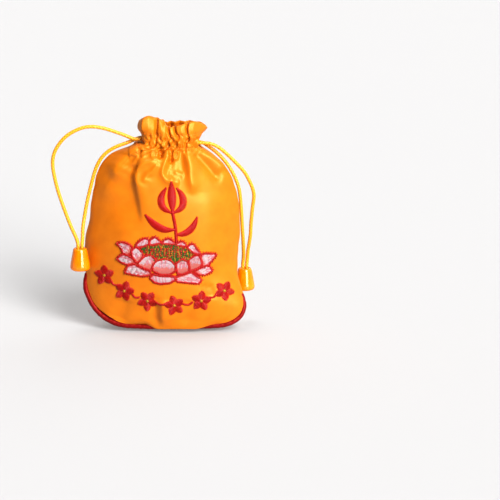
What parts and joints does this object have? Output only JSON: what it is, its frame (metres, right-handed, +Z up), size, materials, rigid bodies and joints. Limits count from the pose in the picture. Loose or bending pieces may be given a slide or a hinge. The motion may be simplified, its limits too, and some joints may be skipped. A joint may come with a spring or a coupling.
{
  "type": "drawstring pouch",
  "caption": "Small stuffed satin drawstring pouch with a gathered frilled neck, piped bottom seam and cords knotted into bell-shaped ends.",
  "frame": {"origin": "on the floor, on the flat pressed base of the back panel below the middle of the pouch", "axes": "+Z up towards the frill, -Y out of the embroidered front, +X to the viewer's right"},
  "size_m": [0.128, 0.0443, 0.1365],
  "materials": {
    "satin": "satin weave",
    "piping_satin": "satin weave",
    "braid": "braided",
    "amber_plastic": "gloss"
  },
  "bodies": {
    "root": {"front_panel": "satin", "back_panel": "satin", "piping": "piping_satin", "left_drawstring": "braid", "right_drawstring": "braid", "left_cord_end": "amber_plastic", "right_cord_end": "amber_plastic"}
  },
  "joints": []
}
